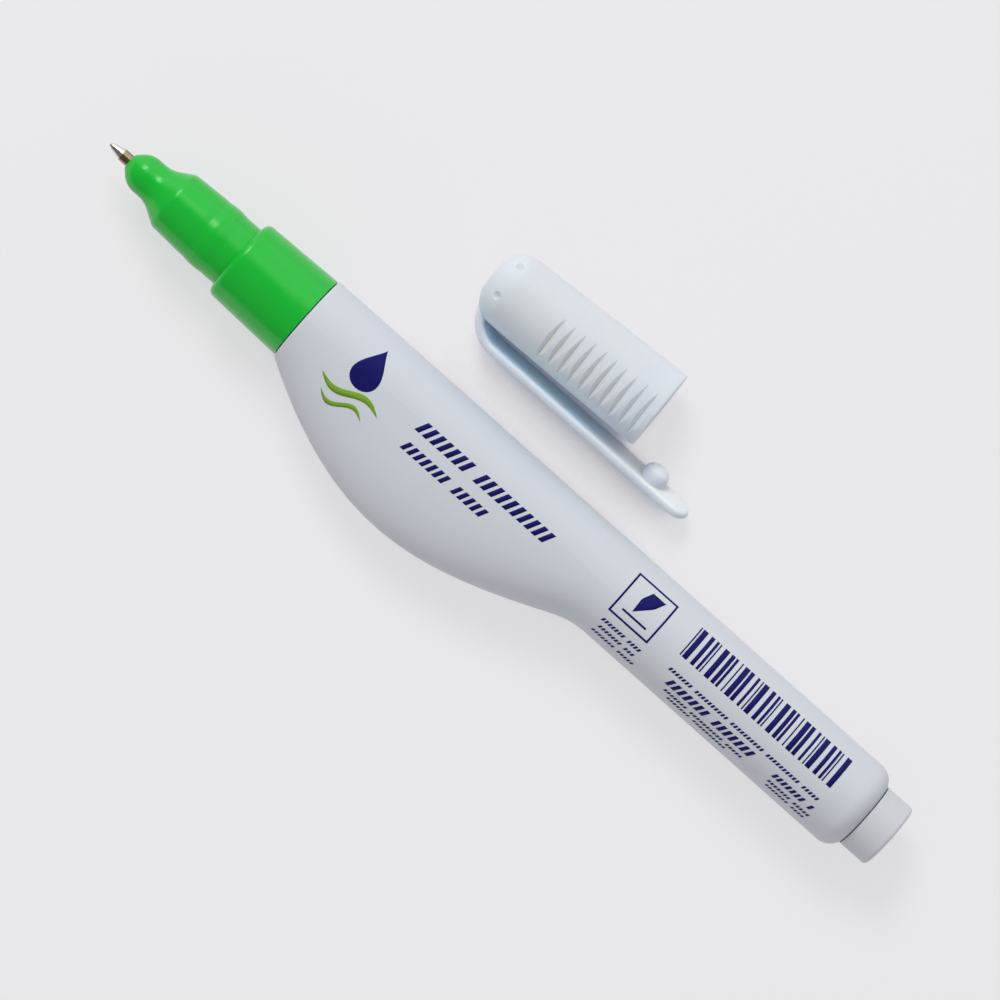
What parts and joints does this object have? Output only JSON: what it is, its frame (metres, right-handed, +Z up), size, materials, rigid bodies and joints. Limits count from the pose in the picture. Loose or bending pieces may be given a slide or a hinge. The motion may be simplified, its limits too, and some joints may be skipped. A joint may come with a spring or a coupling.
{
  "type": "correction pen",
  "caption": "Correction pen with a squeeze belly on a round barrel, a green nose with a spring-valved metal point, and its clip cap lying beside it.",
  "frame": {"origin": "middle of the flat end face of the tail plug, on the axis of the barrel", "axes": "+X along the pen from its tail to its point, +Y towards the belly of the barrel, +Z up from the table that the pen and its cap lie on"},
  "size_m": [0.1355, 0.0417, 0.0128],
  "materials": {
    "barrel_white": "satin",
    "plug_white": "satin",
    "nose_green": "semi-gloss",
    "tip_metal": "turned",
    "needle_steel": "ground",
    "spring_steel": "drawn",
    "bush_plastic": "natural",
    "ball_steel": "polished",
    "cap_white": "semi-gloss",
    "seal_rubber": "soft",
    "ink_navy": "satin",
    "ink_green": "satin"
  },
  "bodies": {
    "pen": {"barrel": "barrel_white", "tail_plug": "plug_white", "nose": "nose_green", "writing_tip": "tip_metal", "spring_seat": "bush_plastic", "valve_spring": "spring_steel"},
    "needle": {"valve_pin": "needle_steel"},
    "ball": {"mixing_ball": "ball_steel"},
    "cap": {"cap": "cap_white", "cap_seal": "seal_rubber"}
  },
  "joints": [
    {"name": "needle_slide", "type": "slide", "parent": "pen", "child": "needle", "axis": [-1, 0, 0], "range_m": [0, 0.0003], "stiffness_N_per_m": 300, "springref_m": -0.0003, "deforming": ["valve_spring"]},
    {"name": "ball_slide", "type": "slide", "parent": "pen", "child": "ball", "axis": [1, 0, 0], "range_m": [-0.0634, 0.02182]},
    {"name": "cap_slide", "type": "slide", "parent": "pen", "child": "cap", "axis": [1, 0, 0], "range_m": [0, 0.091]}
  ]
}
